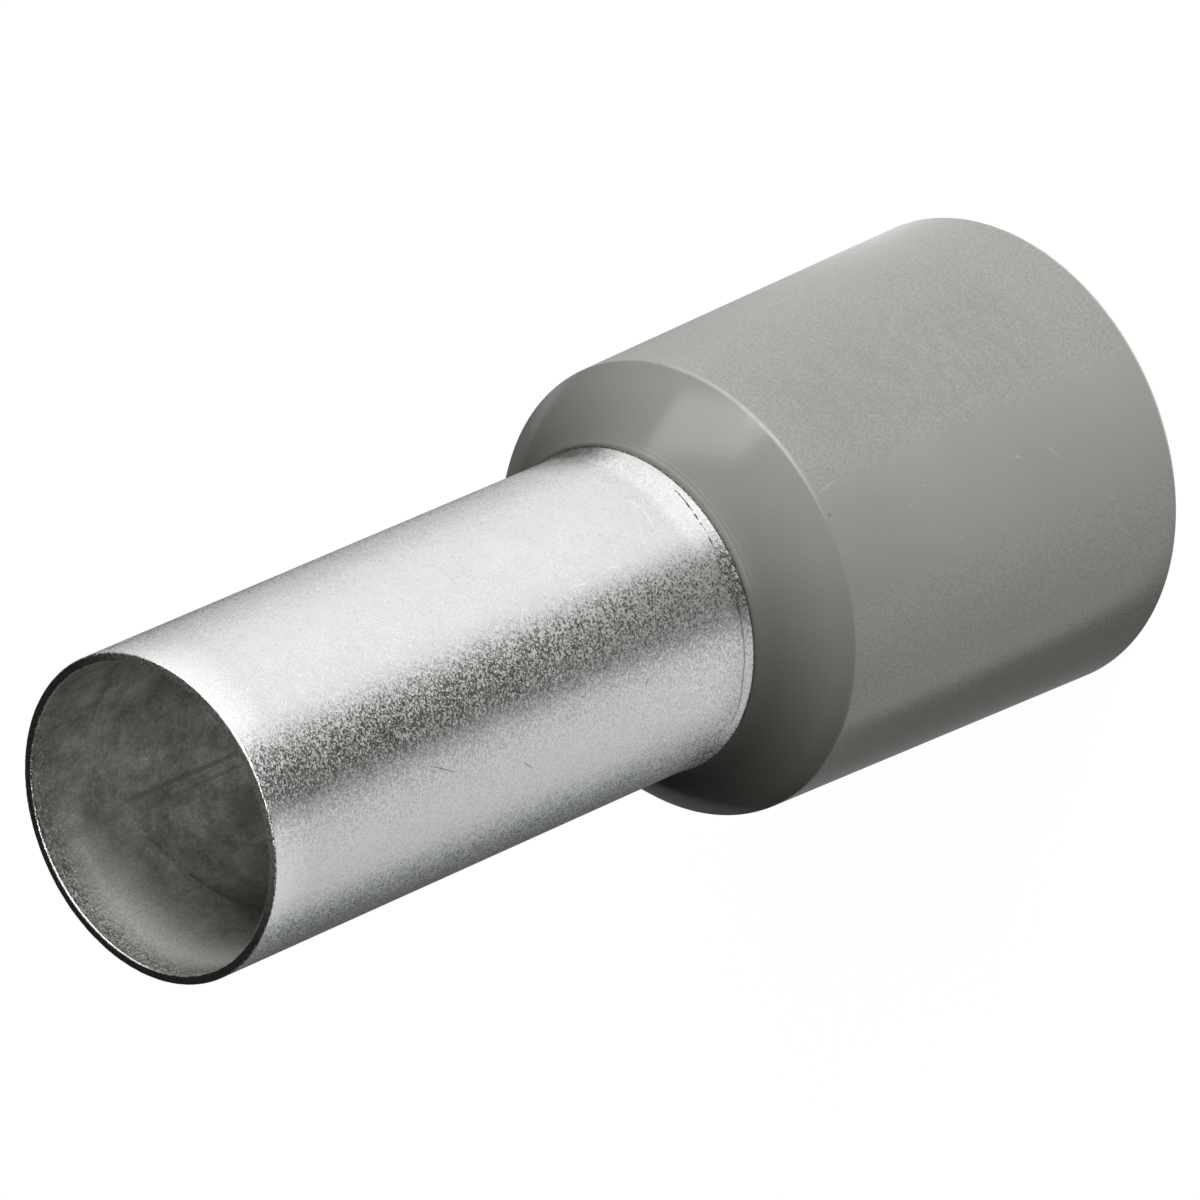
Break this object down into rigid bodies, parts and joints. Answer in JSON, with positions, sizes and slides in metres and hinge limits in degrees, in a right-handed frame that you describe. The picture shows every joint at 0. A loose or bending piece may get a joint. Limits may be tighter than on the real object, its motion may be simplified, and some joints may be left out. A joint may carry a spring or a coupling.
{
  "type": "wire ferrule",
  "caption": "Insulated wire ferrule: a thin tinned tube for bare strands, in a moulded grey collar with a coned nose and an open skirt for the insulation.",
  "frame": {"origin": "centre of the collar's open end, on the plane that it stands on", "axes": "+Z along the axis of sleeve and collar, towards the sleeve's open tip; X and Y are any two directions across it"},
  "size_m": [0.0114, 0.0114, 0.0284],
  "materials": {
    "tinned_copper": "bright tin plate with fine draw lines along the tube, grainy in its darker reflections, dark at the cut rim",
    "grey_polypropylene": "moulded grey, satin, with a very fine even grain and a few light scratches"
  },
  "bodies": {
    "root": {"sleeve": "tinned_copper", "collar": "grey_polypropylene"}
  },
  "joints": []
}
